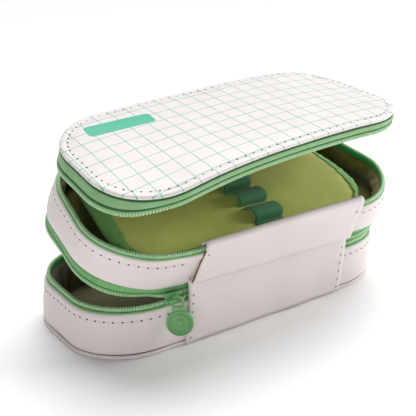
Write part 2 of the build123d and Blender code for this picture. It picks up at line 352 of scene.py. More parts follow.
def printedLeather():
    # squares along the two ways of the lid, and a plain label with round corners
    material, tree, shader, coords = leatherSkin("printed_leather", shade(236, 230, 229))
    along, across = uvParts(tree)
    plain = shader.inputs["Base Color"].links[0].from_socket
    lines = []
    for value, start in ((along, gridPrint["left"]), (across, gridPrint["near"])):
        ramp = calc(tree, "PINGPONG", calc(tree, "SUBTRACT", value, start), gridPrint["pitch"] / 2)
        lines.append(calc(tree, "LESS_THAN", ramp, gridPrint["line"] / 2))
    worn = times(tree, grainNoise(tree, coords, gridPrint["wear"]), gridPrint["wearShare"])
    lineInk = times(tree, calc(tree, "MAXIMUM", *lines), plus(tree, worn, gridPrint["full"]))
    inked = mixColour(tree, lineInk, plain, gridPrint["ink"])
    corner, turn = labelPrint["round"], labelPrint["turn"]
    fromX = calc(tree, "SUBTRACT", along, labelPrint["middle"][0])
    fromY = calc(tree, "SUBTRACT", across, labelPrint["middle"][1])
    squares = []
    rows = ((math.cos(turn), math.sin(turn)), (-math.sin(turn), math.cos(turn)))
    for (shareX, shareY), half in zip(rows, labelPrint["half"]):
        value = plus(tree, times(tree, fromX, shareX), times(tree, fromY, shareY))
        past = calc(tree, "SUBTRACT", calc(tree, "ABSOLUTE", value), half - corner)
        squares.append(calc(tree, "POWER", calc(tree, "MAXIMUM", past, 0.0), 2.0))
    reach = calc(tree, "SQRT", plus(tree, *squares))
    colourBy(tree, shader, calc(tree, "LESS_THAN", reach, corner), inked, labelPrint["ink"])
    return material


def wovenTape(name, light, dark, rib=0.95 * mm):
    # slanted ribs over a finer yarn
    material, tree, shader, coords = startMaterial(name, roughness=0.78, sheen=0.25, specular=0.25)
    shader.inputs["Sheen Roughness"].default_value = 0.5
    along, across = uvParts(tree)
    twill = sineOf(tree, plus(tree, along, times(tree, across, 0.7)), rib)
    yarn = sineOf(tree, calc(tree, "SUBTRACT", across, times(tree, along, 0.2)), rib * 0.55)
    weave = plus(tree, times(tree, twill, 0.3), times(tree, yarn, 0.2))
    blotch = grainNoise(tree, coords, 5 * mm)
    factor = plus(tree, plus(tree, weave, 0.2), times(tree, blotch, 0.5))
    colourBy(tree, shader, factor, dark, light)
    addBump(tree, shader, weave, 0.12 * mm, 0.7)
    return material


def clothWeave(name, light, dark, slack=6 * mm, yarn=0.5 * mm):
    # a plain weave that is slack in soft blotches
    material, tree, shader, coords = startMaterial(name, roughness=0.72, sheen=0.35, specular=0.3)
    along, across = uvParts(tree)
    weave = times(tree, sineOf(tree, along, yarn), sineOf(tree, across, yarn))
    blotch = grainNoise(tree, coords, slack, 4.0)
    colourBy(tree, shader, plus(tree, times(tree, weave, 0.14), blotch), dark, light)
    addBump(tree, shader, plus(tree, times(tree, weave, 0.25), blotch), 0.25 * mm, 0.6)
    return material


def ribbedElastic(name, light, dark):
    material, tree, shader, coords = startMaterial(name, roughness=0.75, sheen=0.3, specular=0.3)
    along, across = uvParts(tree)
    rib = sineOf(tree, across, 1.15 * mm)
    knit = sineOf(tree, plus(tree, along, times(tree, across, 0.9)), 0.8 * mm)
    height = plus(tree, times(tree, rib, 0.6), times(tree, knit, 0.4))
    colourBy(tree, shader, plus(tree, times(tree, height, 0.8), 0.5), dark, light)
    addBump(tree, shader, height, 0.2 * mm, 0.8)
    return material


def mouldedGreen(name, light, dark, roughness):
    material, tree, shader, coords = startMaterial(name, roughness=roughness, specular=0.45)
    colourBy(tree, shader, grainNoise(tree, coords, 7 * mm, 2.0), dark, light)
    addBump(tree, shader, grainNoise(tree, coords, 1.2 * mm, 4.0), 0.03 * mm, 0.5)
    return material


def roughCut(name, light, dark, size=1.1 * mm):
    # cut edges, thread and board: fibres and specks
    material, tree, shader, coords = startMaterial(name, roughness=0.85, specular=0.2)
    fibre = grainNoise(tree, coords, size, 6.0)
    colourBy(tree, shader, fibre, dark, light)
    addBump(tree, shader, fibre, 0.1 * mm, 0.7)
    return material


def stampedMetal(name, light, dark):
    material, tree, shader, coords = startMaterial(name, roughness=0.35)
    shader.inputs["Metallic"].default_value = 1.0
    scratch = grainNoise(tree, coords, 0.6 * mm, 5.0)
    colourBy(tree, shader, scratch, dark, light)
    addBump(tree, shader, scratch, 0.02 * mm, 0.5)
    return material


leather = leatherSkin("white_leather", shade(233, 225, 223))[0]
printed = printedLeather()
tapeGreen = wovenTape("zip_tape", shade(172, 206, 158), shade(98, 156, 96))
rimGreen = wovenTape("rim_tape", shade(150, 202, 138), shade(76, 148, 80))
# the tapes' inner side: the same tape painted a darker, deeper green, as painted shade inside the rim
shadedInnerGreen = wovenTape("inner_tape_painted_shade", shade(44, 178, 96), shade(10, 120, 56))
# the tapes' grooves and the strip just under the leather edge: the same tape painted dark green, as painted shade
grooveShadeGreen = wovenTape("groove_painted_shade", shade(74, 134, 76), shade(34, 84, 42))
teethGreen = mouldedGreen("zip_teeth", shade(186, 218, 176), shade(138, 188, 132), 0.38)
oliveCloth = clothWeave("lining", shade(136, 130, 42), shade(92, 88, 22))
# the lower box's lining is the tray's olive cloth painted much darker: painted shade deep in the box
shadedBoxCloth = clothWeave("box_lining_painted_shade", shade(94, 90, 22), shade(50, 50, 8))
pageCloth = clothWeave("page_cloth", shade(206, 212, 112), shade(176, 186, 76), slack=14 * mm)
bindingCloth = wovenTape("binding", shade(152, 202, 122), shade(88, 150, 76), 0.8 * mm)
elasticCloth = ribbedElastic("elastic", shade(72, 146, 92), shade(30, 92, 52))
enamel = mouldedGreen("slider_metal", shade(114, 176, 114), shade(96, 160, 98), 0.34)
rubber = mouldedGreen("pull_rubber", shade(122, 178, 116), shade(106, 162, 102), 0.44)
cutEdge = roughCut("cut_edge", shade(150, 112, 88), shade(70, 46, 34))
thread = roughCut("thread", shade(236, 228, 224), shade(206, 196, 190), 0.5 * mm)
# a dark blob at each needle hole: painted shade in the hole
holeShade = roughCut("needle_hole_painted_shade", shade(92, 74, 66), shade(44, 34, 30), 0.5 * mm)
greyBoard = roughCut("board", shade(176, 168, 152), shade(140, 130, 116), 2 * mm)
stopMetal = stampedMetal("stop_metal", shade(205, 206, 202), shade(150, 152, 148))
print("materials made")


# The case's outline as a path: a point and its outward direction, by the distance from the middle of
# the near side.


def outlineLength(shape):
    straight = shape["halfLength"] + shape["halfDepth"] - 2 * shape["radius"]
    return 4 * straight + 2 * math.pi * shape["radius"]


def outlinePoint(shape, distance, inset=0.0):
    radius = shape["radius"]
    runX = shape["halfLength"] - radius
    runY = shape["halfDepth"] - radius
    left = distance % outlineLength(shape)
    heading = 0.0
    point = Vector((0.0, shape["middle"] - shape["halfDepth"], 0.0))
    for run in (runX, 2 * runY, 2 * runX, 2 * runY, runX):
        step = min(left, run)
        point = point + step * Vector((math.cos(heading), math.sin(heading), 0.0))
        left -= step
        if left <= 0:
            break
        turn = min(left / radius, math.pi / 2)
        centre = point + radius * Vector((-math.sin(heading), math.cos(heading), 0.0))
        heading += turn
        point = centre + radius * Vector((math.sin(heading), -math.cos(heading), 0.0))
        left -= turn * radius
        if left <= 0:
            break
    outward = Vector((math.sin(heading), -math.cos(heading), 0.0))
    return point - outward * inset, outward


def once(items):
    return list(dict.fromkeys(items))


def grow(bm, edges):
    # extrudes edges in place, and gives the new points, edges and faces
    made = bmesh.ops.extrude_edge_only(bm, edges=edges)["geom"]
    kinds = (bmesh.types.BMVert, bmesh.types.BMEdge, bmesh.types.BMFace)
    return [[g for g in made if isinstance(g, kind)] for kind in kinds]


def sweepOutline(shape, steps, count=200, closed=True, warp=None, painted=None):
    # pulls the outline through a list of (inset, height) steps; painted gives a step another material, which the zip
    # tapes use for painted shade
    bm = bmesh.new()
    alongLayer = bm.verts.layers.float.new("along")
    acrossLayer = bm.verts.layers.float.new("across")
    ring = bmesh.ops.create_circle(bm, cap_ends=False, radius=1.0, segments=count)["verts"]
    length = outlineLength(shape)
    for index, vert in enumerate(ring):
        vert[alongLayer] = length * index / count
    edges = bm.edges[:]
    across = 0.0
    allSteps = steps + steps[:1] if closed else steps
    for number, (inset, height) in enumerate(allSteps):
        if number:
            verts, edges, faces = grow(bm, edges)
            for face in faces:
                face.material_index = (painted or {}).get(number, 0)
            before = allSteps[number - 1]
            across += math.hypot(inset - before[0], height - before[1])
        for vert in once(v for e in edges for v in e.verts):
            shift = warp(vert[alongLayer], number % len(steps)) if warp else (0.0, 0.0)
            point, outward = outlinePoint(shape, vert[alongLayer], inset + shift[0])
            vert.co = Vector((point.x, point.y, height + shift[1]))
            vert[acrossLayer] = across
    uvLayer = bm.loops.layers.uv.new("UVMap")
    for face in bm.faces:
        high = max(loop.vert[alongLayer] for loop in face.loops)
        for loop in face.loops:
            along = loop.vert[alongLayer]
            if high - along > length / 2:
                along += length
            loop[uvLayer].uv = (along, loop.vert[acrossLayer])
    if closed:
        bmesh.ops.remove_doubles(bm, verts=bm.verts, dist=tiny)
    return bm


def fillHoles(bm, wanted=lambda place: True):
    # closes the open rings whose points are all wanted
    rims = [e for e in bm.edges if e.is_boundary and all(wanted(v.co) for v in e.verts)]
    if rims:
        bmesh.ops.holes_fill(bm, edges=rims, sides=0)


def cutAcross(bm, axis, places, wanted):
    # cuts through the wanted faces, square to an axis
    normal = Vector([float(axis == other) for other in range(3)])
    for place in places:
        geom = once(g for f in bm.faces if wanted(f) for g in (*f.verts, *f.edges, f))
        bmesh.ops.bisect_plane(bm, geom=geom, dist=tiny / 10, plane_co=normal * place, plane_no=normal)


def cutGap(bm, low, high, side):
    # opens a ring where a panel lies over it, and closes the cut ends
    cutAcross(bm, 0, (low, high), lambda f: f.calc_center_median().y * side > 0)
    middles = [(f, f.calc_center_median()) for f in bm.faces]
    inside = [f for f, middle in middles if middle.y * side > 0 and low < middle.x < high]
    bmesh.ops.delete(bm, geom=inside, context="FACES")
    fillHoles(bm)


def flatUv(bm, wanted=lambda face: True):
    # the piece's own plan as its map
    uvLayer = bm.loops.layers.uv.active
    for face in bm.faces:
        if wanted(face):
            for loop in face.loops:
                loop[uvLayer].uv = loop.vert.co.xy


def meshFrom(bm, name):
    mesh = bpy.data.meshes.new(name)
    bm.to_mesh(mesh)
    bm.free()
    return mesh


def addObject(name, data):
    made = bpy.data.objects.new(name, data)
    bpy.context.scene.collection.objects.link(made)
    return made


def makePiece(bm, name, materials, place, angle=50):
    for vert in bm.verts:
        vert.co = place(vert.co)
    bmesh.ops.recalc_face_normals(bm, faces=bm.faces)
    mesh = meshFrom(bm, name)
    for layer in ("along", "across"):
        if layer in mesh.attributes:
            mesh.attributes.remove(mesh.attributes[layer])
    mesh.polygons.foreach_set("use_smooth", [True] * len(mesh.polygons))
    mesh.set_sharp_from_angle(angle=math.radians(angle))
    for material in materials if isinstance(materials, list) else [materials]:
        mesh.materials.append(material)
    return addObject(name, mesh)


def finishPiece(piece, body, slot, *nodes):
    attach(piece, body)
    if nodes:
        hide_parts(*nodes)


def thicken(piece, amount, rim=None):
    solid = piece.modifiers.new("thickness", "SOLIDIFY")
    solid.thickness = amount
    solid.offset = 0.0
    if rim is not None:
        solid.material_offset_rim = rim


def ripple(point, size, depth, seed=0.0):
    return noise.noise(point / size + Vector((seed, seed * 0.7, seed * 1.3))) * depth


def softWarp(shape, size, depth, seed, firm=()):
    # a slow unevenness in and out, the same at every step of the profile but the firm ones
    def warp(along, number):
        if number in firm:
            return (0.0, 0.0)
        return (ripple(outlinePoint(shape, along)[0], size, depth, seed), 0.0)
    return warp


def stepsAt(profile, **heights):
    # a profile in mm: how far in, and how high from a named level
    return [(inset * mm, heights[level] + height * mm) for inset, level, height in profile]


# Lower box

basePanel = {
    "board": (
        (2.6, "foot", 0.0), (1.1, "foot", 0.1), (0.25, "foot", 0.6), (-0.25, "foot", 1.3), (-0.3, "foot", 1.9),
        (0.1, "foot", 2.5), (0.9, "edge", -0.15), (4.0, "edge", 0.0),
    ),
    "seam": ((0.95, "edge", -0.35), (0.2, "edge", -0.2), (0.12, "edge", 0.15), (0.95, "edge", 0.35)),
}
# a padded wall: rounded foot, bulged outer face, stitched and turned top, flat inner face
sideWall = {
    "foot": ((0.9, "low", 0.0), (0.25, "low", 0.25), (0.0, "low", 0.7)),
    "top": (
        (0.12, "high", -4.3), (-0.22, "high", -2.6), (-0.1, "high", -1.4), (0.1, "high", -0.7),
        (0.45, "high", -0.15), (1.0, "high", 0.0), (1.4, "high", -0.5), (2.6, "high", -1.2), (2.6, "low", 0.2),
    ),
    "bulge": 0.6 * mm, "bulgeShares": (0.15, 0.3, 0.45, 0.6), "bulgeEnd": 0.8, "fill": 0.9,
}
baseWarp = softWarp(caseShape, size=26 * mm, depth=0.5 * mm, seed=1.0)
trayWarp = softWarp(caseShape, size=24 * mm, depth=0.55 * mm, seed=5.0)


def sideBand(name, body, low, high, warp, place, *nodes):
    steps = stepsAt(sideWall["foot"], low=low)
    for share in sideWall["bulgeShares"]:
        out = sideWall["bulge"] * math.sin(math.pi * share / sideWall["bulgeEnd"])
        steps.append((-out, low + (high - low) * share))
    steps += stepsAt(sideWall["top"], low=low, high=high)
    piece = makePiece(sweepOutline(caseShape, steps, warp=warp), name, leather, place)
    finishPiece(piece, body, "white_leather", *nodes)


def baseParts():
    edge = levels["baseEdge"]
    lastStep = len(basePanel["board"]) - 1
    warp = softWarp(caseShape, size=21 * mm, depth=0.35 * mm, seed=3.0, firm=(0, lastStep))
    bm = sweepOutline(caseShape, stepsAt(basePanel["board"], foot=0.0, edge=edge), closed=False, warp=warp)
    fillHoles(bm)
    piece = makePiece(bm, "basePanel", leather, onBase)
    finishPiece(piece, "case_base", "white_leather", "base_panel")

    warp = softWarp(caseShape, size=4 * mm, depth=0.3 * mm, seed=9.0)
    bm = sweepOutline(caseShape, stepsAt(basePanel["seam"], edge=edge), warp=warp)
    piece = makePiece(bm, "baseSeamEdge", cutEdge, onBase)
    finishPiece(piece, "case_base", "white_leather")

    nodes = ("base_side_band", "base_side_foam")
    sideBand("baseSideBand", "case_base", edge, levels["baseTop"], baseWarp, onBase, *nodes)
    print("lower box made")


# Upper tray


def trayParts():
    nodes = ("tray_side_band", "tray_side_foam")
    sideBand("traySideBand", "tray", levels["trayLow"], levels["trayTop"], trayWarp, onTray, *nodes)
    print("upper tray made")


# Panels over the near and the far side, and the zips that run in under them

frontPanel = {
    "low": -48 * mm, "high": 60 * mm, "thick": 1.2 * mm, "foot": 1.0 * mm, "bend": 3.0 * mm,
    # how far along each end stands, by height, in mm
    "heights": (0, 36, 54, 62), "lefts": (-48.6, -48.3, -43.4, -42.4), "rights": (57.7, 59.3, 61.5, 62.0),
    "lift": 1.3 * mm, "liftWidth": 2.4 * mm, "climb": 4.2 * mm, "leastClimb": 0.6 * mm, "climbFrom": 8 * mm,
    "rollTop": 60.6 * mm, "rollRadius": 1.9 * mm, "rollIn": 3.2 * mm, "rollGap": 0.4 * mm, "rollArc": (180, 20, 9),
    "faceDepth": 3 * mm, "coarse": 2.4 * mm, "fine": 1.0 * mm, "fineFrom": 6 * mm, "upperStep": 2.0 * mm,
    "lipStart": 1.6 * mm, "lipEnd": 16 * mm, "cuts": 56,
    # how far out and how high the folded lip runs, in mm from the fold
    "lip": (
        (0.0, -1.4), (0.0, -0.5), (0.35, 0.1), (1.05, 0.35), (1.75, 0.0), (2.2, -0.55), (2.75, -0.65), (3.05, -0.1),
        (3.0, 0.9), (2.8, 2.4), (2.4, 4.4), (1.8, 6.8), (1.15, 9.2), (0.6, 11.6), (0.2, 14.0),
    ),
}
backPanel = {
    "low": -50 * mm, "high": 50 * mm, "thick": 1.2 * mm, "bend": 3.0 * mm, "over": 0.9 * mm,
    "step": 1.6 * mm, "turn": 1.4 * mm, "turnStart": 1.2 * mm, "flap": (3.0 * mm, 5.0 * mm), "cuts": 44,
}


def sweepRow(low, high, cuts, route):
    # a straight row of points across the panel, pulled along a route of (y, height)
    bm = bmesh.new()
    acrossLayer = bm.verts.layers.float.new("across")
    first = bm.verts.new((low, *route[0]))
    last = bm.verts.new((high, *route[0]))
    bmesh.ops.subdivide_edges(bm, edges=[bm.edges.new((first, last))], cuts=cuts)
    edges = bm.edges[:]
    across = 0.0
    for (oldY, oldZ), (y, z) in zip(route, route[1:]):
        verts, edges, faces = grow(bm, edges)
        across += math.hypot(y - oldY, z - oldZ)
        for vert in verts:
            vert.co.y, vert.co.z = y, z
            vert[acrossLayer] = across
    uvLayer = bm.loops.layers.uv.new("UVMap")
    for face in bm.faces:
        for loop in face.loops:
            loop[uvLayer].uv = (loop.vert.co.x, loop.vert[acrossLayer])
    return bm


def straightRoute(y, start, end, stepAt):
    route = []
    while start < end:
        route.append((y, start))
        start += stepAt(start)
    return route


def arcRoute(centreY, centreZ, radius, start, end, count):
    angles = [math.radians(start + (end - start) * index / count) for index in range(count + 1)]
    return [(centreY + radius * math.cos(angle), centreZ + radius * math.sin(angle)) for angle in angles]


def finishPanel(piece, panel, nodes):
    thicken(piece, panel["thick"], rim=1)
    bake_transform(piece)
    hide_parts(*nodes)


def onFront(point):
    panel, fold = frontPanel, trayFold.z
    soft = settle(point)
    across = (point.x - panel["low"]) / (panel["high"] - panel["low"])
    left, right = (readTable(point.z, panel["heights"], panel[side]) for side in ("lefts", "rights"))
    soft.x = left + (right - left) * across
    if point.y < trayFold.y + panel["faceDepth"]:
        soft.y += ripple(point, 17 * mm, 0.45 * mm, 4.0)
        soft.z += panel["lift"] * (1 - across) * math.exp(-(((point.z - fold) / panel["liftWidth"]) ** 2))
    climb = panel["leastClimb"] + panel["climb"] * across
    soft.z += climb * smooth(point.z, fold + panel["climbFrom"], panel["rollTop"])
    return placeTray(soft, smooth(point.z, fold - panel["bend"], fold + panel["bend"]))


def frontPanelPiece():
    panel, face, fold = frontPanel, trayFold.y, trayFold.z
    radius = panel["rollRadius"]
    centreZ = panel["rollTop"] - radius
    route = straightRoute(
        face, panel["foot"], fold - panel["lipStart"],
        lambda z: panel["fine"] if fold - z < panel["fineFrom"] else panel["coarse"],
    )
    route += [(face - out * mm, fold + rise * mm) for out, rise in panel["lip"]]
    route += straightRoute(face, fold + panel["lipEnd"], centreZ - panel["fine"], lambda z: panel["upperStep"])
    route += arcRoute(face + radius + panel["rollGap"], centreZ, radius, *panel["rollArc"])
    endY, endZ = route[-1]
    route += [(endY + 0.8 * mm, endZ - panel["rollIn"] / 2), (endY + 0.9 * mm, endZ - panel["rollIn"])]
    bm = sweepRow(panel["low"], panel["high"], panel["cuts"], route)
    for part in bm.faces:
        # the edges of the roll and of the lower part are turned in, the others are cut
        height = part.calc_center_median().z
        part.material_index = 2 if height > centreZ - panel["upperStep"] or height < fold else 0
    piece = makePiece(bm, "frontPanel", [leather, cutEdge, leather, leather], onFront, angle=80)
    nodes = ("front_panel_lower", "front_panel_upper")
    finishPanel(piece, panel, nodes)


def onBack(point):
    fold = lidFold.z
    share = smooth(point.z, fold - backPanel["bend"], fold + backPanel["bend"])
    rise = smooth(point.z, levels["trayTop"], levels["lidLow"])
    soft = point.copy()
    soft.y += ripple(point, 15 * mm, 0.4 * mm, 8.0) * (1 - rise)
    return placeTray(openLid(soft, rise, share))


def backPanelPiece():
    panel, face = backPanel, lidFold.y
    top = levels["lidLow"] + panel["over"]
    turn = panel["turn"]
    route = straightRoute(face, levels["trayLow"], top - panel["turnStart"], lambda z: panel["step"])
    route += arcRoute(face - turn, top - turn, turn, 0, 90, 5)
    route += [(face - reach, top) for reach in panel["flap"]]
    bm = sweepRow(panel["low"], panel["high"], panel["cuts"], route)
    piece = makePiece(bm, "backPanel", [leather, cutEdge], onBack, angle=80)
    nodes = ("back_panel_lower", "back_panel_upper")
    finishPanel(piece, panel, nodes)
    print("panels made")


# Zips

# each tape's section in mm, counted in from the wall and up from the zip, and the steps painted darker green as
# painted shade: 1 for the tape's inner side, 2 for its grooves and the strip under the leather edge
rimTape = {
    "section": (
        (3.3, -10.0), (3.3, -2.4), (3.1, -1.7), (2.7, -1.3), (2.0, -1.25), (1.4, -1.5), (1.15, -2.1), (1.3, -2.6),
        (1.7, -2.8), (1.3, -3.0), (0.9, -3.5), (0.9, -4.0), (1.6, -4.3), (2.6, -4.5), (2.65, -10.0),
    ),
    "shadePaint": {1: 1, 2: 1, 8: 2, 9: 2}, "start": 6 * mm,
}
skirtTape = {
    "section": (
        (3.25, 11.0), (3.25, 2.6), (3.05, 1.8), (2.6, 1.35), (2.0, 1.3), (1.4, 1.6), (1.1, 2.2), (1.25, 2.7),
        (1.65, 2.9), (1.2, 3.15), (0.9, 4.0), (0.85, 5.2), (0.95, 6.1), (1.5, 6.45), (2.6, 6.7), (2.65, 11.0),
    ),
    "shadePaint": {1: 1, 2: 1, 8: 2, 9: 2, 13: 2, 14: 2}, "gap": 0.3 * mm,
}
lidTape = {"out": 0.6 * mm, "taller": 1.21, "tallerFrom": 2.7, "under": 0.2 * mm, "teeth": 1.45 * mm}
tooth = {
    "pitch": 1.5 * mm, "width": 1.05 * mm, "deep": 1.95 * mm, "tall": 1.9 * mm, "bevel": 0.75 * mm,
    "inset": 2.05 * mm, "tip": 0.05 * mm, "covered": 8 * mm,
}
# near the slider and at the near right corner the lower zip stays nearly shut, so the skirt's edge hangs
hang = {
    "left": (-72 * mm, -56 * mm), "leftDepth": (-44 * mm, -40 * mm),
    "right": (40 * mm, 60 * mm), "rightDepth": (-38 * mm, -22 * mm), "rightShare": 0.8, "share": 0.9,
    "flare": Vector((-1.0 * mm, -1.6 * mm, -1.2 * mm)), "flareFrom": (68 * mm, 92 * mm),
}
# the lid's loose tape hangs out at the left end and is drawn up along the near side
looseTape = {
    "near": (-44 * mm, -20 * mm), "left": (70 * mm, 94 * mm), "out": 2.2 * mm, "up": 1.5 * mm, "down": 1.2 * mm,
}


def tapeSteps(section, zipLevel):
    return [(inset * mm, zipLevel + height * mm) for inset, height in section]


def repeatMesh(template, matrices):
    bm = bmesh.new()
    for matrix in matrices:
        before = len(bm.verts)
        bm.from_mesh(template)
        bm.verts.ensure_lookup_table()
        bmesh.ops.transform(bm, matrix=matrix, verts=bm.verts[before:])
    return bm


def toothMesh():
    bm = bmesh.new()
    bmesh.ops.create_cube(bm, size=1.0)
    bmesh.ops.scale(bm, vec=(tooth["width"], tooth["deep"], tooth["tall"]), verts=bm.verts)
    upper = [e for e in bm.edges if all(v.co.z > 0 for v in e.verts)]
    tips = [e for e in upper if abs(e.verts[0].co.y - e.verts[1].co.y) < tiny]
    bmesh.ops.bevel(bm, geom=tips, offset=tooth["bevel"], segments=2, profile=0.5, affect="EDGES", material=-1)
    bmesh.ops.translate(bm, vec=(0, 0, -tooth["tall"] / 2), verts=bm.verts)
    return meshFrom(bm, "tooth")


def placesRound(shape, pitch, inset, gaps, warp=None):
    # evenly spaced places along the outline, without those in a gap: a point, its outward and its heading
    length = outlineLength(shape)
    count = round(length / pitch)
    for index in range(count):
        distance = length * index / count
        soft = warp(distance, 4)[0] if warp else 0.0
        point, outward = outlinePoint(shape, distance, inset + soft)
        if not any(low < point.x < high and point.y * side > 0 for low, high, side in gaps):
            yield point, outward, Vector((-outward.y, outward.x, 0.0))


def coilTeeth(name, body, node, zipLevel, up, place, gaps, shape=caseShape, inset=tooth["inset"]):
    # one small rib per turn of the coil, wrapped over the tape's edge
    rise = Vector((0, 0, up))
    matrices = []
    for point, outward, heading in placesRound(shape, tooth["pitch"], inset, gaps):
        turn = Matrix((heading, outward, rise)).transposed().to_4x4()
        matrices.append(Matrix.Translation((point.x, point.y, zipLevel - up * tooth["tip"])) @ turn)
    piece = makePiece(repeatMesh(toothMesh(), matrices), name, teethGreen, place)
    finishPiece(piece, body, "zip_teeth", node)


def onSkirt(point):
    soft = onTray(point)
    loose = 1 - smooth(point.z, levels["lowerZip"] + 1.0 * mm, levels["trayLow"] + 0.5 * mm)
    soft += hang["flare"] * (loose * smooth(-point.x, *hang["flareFrom"]))
    if point.y > 0:
        return soft
    left = smooth(point.x, *hang["left"]) * (1 - smooth(point.y, *hang["leftDepth"]))
    right = smooth(point.x, *hang["right"]) * (1 - smooth(point.y, *hang["rightDepth"])) * hang["rightShare"]
    return soft.lerp(onBase(point), loose * max(left, right) * hang["share"])


def onLidZip(point):
    loose = 1 - smooth(point.z, levels["upperZip"] + 1.5 * mm, levels["lidLow"] - 0.5 * mm)
    near = 1 - smooth(point.y, *looseTape["near"])
    left = smooth(-point.x, *looseTape["left"])
    up = looseTape["up"] * near * (1 - left) - looseTape["down"] * left
    return onLid(point + Vector((-looseTape["out"] * left, 0, up)) * loose)


def zipTape(name, body, node, steps, tape, green, place, shape=caseShape, gap=None):
    bm = sweepOutline(shape, steps, painted=tape["shadePaint"])
    if gap:
        cutGap(bm, *gap)
    # the second and third materials are painted shade: the tape's inner side, and its grooves and top strip
    piece = makePiece(bm, name, [green, shadedInnerGreen, grooveShadeGreen], place)
    finishPiece(piece, body, "zip_tape", node)


def zipParts():
    lower, upper = levels["lowerZip"], levels["upperZip"]
    low, high, covered = frontPanel["low"], frontPanel["high"], tooth["covered"]
    nearHidden = (low + covered, high - covered, -1)
    farHidden = (backPanel["low"] + covered, backPanel["high"] - covered, 1)
    rimGap = (low + rimTape["start"], high, -1)

    steps = tapeSteps(rimTape["section"], lower)
    zipTape("lowerRimTape", "case_base", "lower_rim_tape", steps, rimTape, rimGreen, onBase)
    coilTeeth("lowerRimCoil", "case_base", "lower_rim_coil", lower, 1, onBase, [nearHidden])

    skirtZip = lower + skirtTape["gap"]
    steps = tapeSteps(skirtTape["section"], skirtZip)
    zipTape("traySkirtTape", "tray", "tray_skirt_tape", steps, skirtTape, rimGreen, onSkirt)
    coilTeeth("traySkirtCoil", "tray", "tray_skirt_coil", skirtZip, -1, onSkirt, [nearHidden])

    steps = tapeSteps(rimTape["section"], upper)
    zipTape("trayRimTape", "tray", "tray_rim_tape", steps, rimTape, rimGreen, onTray, gap=rimGap)
    coilTeeth("trayRimCoil", "tray", "tray_rim_coil", upper, 1, onTray, [rimGap, farHidden])

    lidZip = upper + skirtTape["gap"]
    steps = []
    for inset, height in skirtTape["section"][1:-1]:
        taller = lidTape["taller"] if height > lidTape["tallerFrom"] else 1.0
        steps.append((inset * mm - lidTape["out"], lidZip + height * mm * taller))
    seam = levels["lidLow"] - lidTape["under"]
    steps = [(steps[0][0], seam), *steps, (steps[-1][0], seam)]
    zipTape("lidZipTape", "lid", "lid_zip_tape", steps, skirtTape, tapeGreen, onLidZip, lidShape)
    coilTeeth("lidZipCoil", "lid", "lid_zip_coil", lidZip, -1, onLidZip, [farHidden], lidShape, lidTape["teeth"])
    print("zips made")


# Linings

lining = {
    "thick": 0.35 * mm, "turnedUp": 40 * mm, "under": 3.6 * mm, "rows": 9, "rings": (6, 10, 16, 24, 33),
    "aboveFloor": 0.5 * mm, "foldWidth": 7.5 * mm, "puffWidth": 14 * mm, "puff": 0.5 * mm,
    "baseBelow": 1.6 * mm, "baseFolds": 2.6 * mm, "trayBelow": 1.8 * mm, "trayFolds": 3.4 * mm,
    "underside": ((3.4, "low", 0.9), (5, "low", 0.35), (12, "low", -0.3), (30, "low", -1.0)),
    "lid": ((2.6, "low", -1.2), (4, "low", -0.4), (12, "low", -0.5), (30, "low", -0.7)),
}


def clothPiece(bm, name, cloth, place, body, node):
    piece = makePiece(bm, name, cloth, place, angle=70)
    thicken(piece, lining["thick"])
    finishPiece(piece, body, "lining", node)


def crumpled(low, high, folds, seed):
    # a cloth lining: a slack wall that falls in soft folds to a flat floor
    rows = lining["rows"]
    steps = []
    for row in range(rows + 1):
        share = row / rows
        steps.append((lining["under"] + folds * 0.5 * math.sin(math.pi * share), high + (low - high) * share))
    steps += [(ring * mm, low) for ring in lining["rings"]]

    def warp(along, number):
        point, outward = outlinePoint(caseShape, along)
        if number > rows:
            across = point / lining["puffWidth"]
            lift = lining["puff"] * (0.5 + noise.noise(Vector((across.x, across.y, number * 0.6 + seed))))
            return (0.0, max(0.0, lift))
        share = number / rows
        depth = max(0.0, math.sin(math.pi * share)) ** 0.7
        drape = Vector((along / lining["foldWidth"], share * 1.3, seed))
        crease = noise.noise(drape) + 0.5 * noise.noise(drape * 2.3)
        return (folds * depth * max(-0.4, crease + 0.35), 0.0)

    bm = sweepOutline(caseShape, steps, count=320, closed=False, warp=warp)
    fillHoles(bm, lambda place: place.z < low + 2 * mm)
    flatUv(bm, lambda face: len(face.verts) > 4)
    return bm


def liningParts():
    floor, top = levels["baseEdge"] + lining["aboveFloor"], levels["baseTop"] - lining["baseBelow"]
    bm = crumpled(floor, top, lining["baseFolds"], seed=2.0)
    # the lower box takes the darker cloth, its painted shade
    clothPiece(bm, "baseLining", shadedBoxCloth, onBase, "case_base", "base_lining")

    floor, top = levels["trayFloor"] + lining["aboveFloor"], levels["trayTop"] - lining["trayBelow"]
    bm = crumpled(floor, top, lining["trayFolds"], seed=7.0)
    clothPiece(bm, "trayLining", oliveCloth, onTray, "tray", "tray_lining")

    low = levels["trayLow"]
    bm = sweepOutline(caseShape, stepsAt(lining["underside"], low=low), closed=False)
    fillHoles(bm, lambda place: place.z < low)
    flatUv(bm)
    clothPiece(bm, "trayUnderside", oliveCloth, onTray, "tray", "tray_underside_cloth")
    print("linings made")


# Lid

lid = {
    "seam": ((5.2, "low", 0.2), (1.6, "low", 0.1)), "edgeArc": 80, "edgeSteps": 6,
    "top": (
        (2.8, "top", 0.05), (4.3, "top", -0.12), (5.6, "top", 0.1), (9, "top", 0.3), (14, "top", 0.4),
        (20, "top", 0.45), (29, "top", 0.5),
    ),
    "cutsAlong": [k * 10 * mm for k in range(-7, 8)], "cutsAcross": (-10 * mm, 0.0, 10 * mm), "wide": 50 * mm * mm,
}


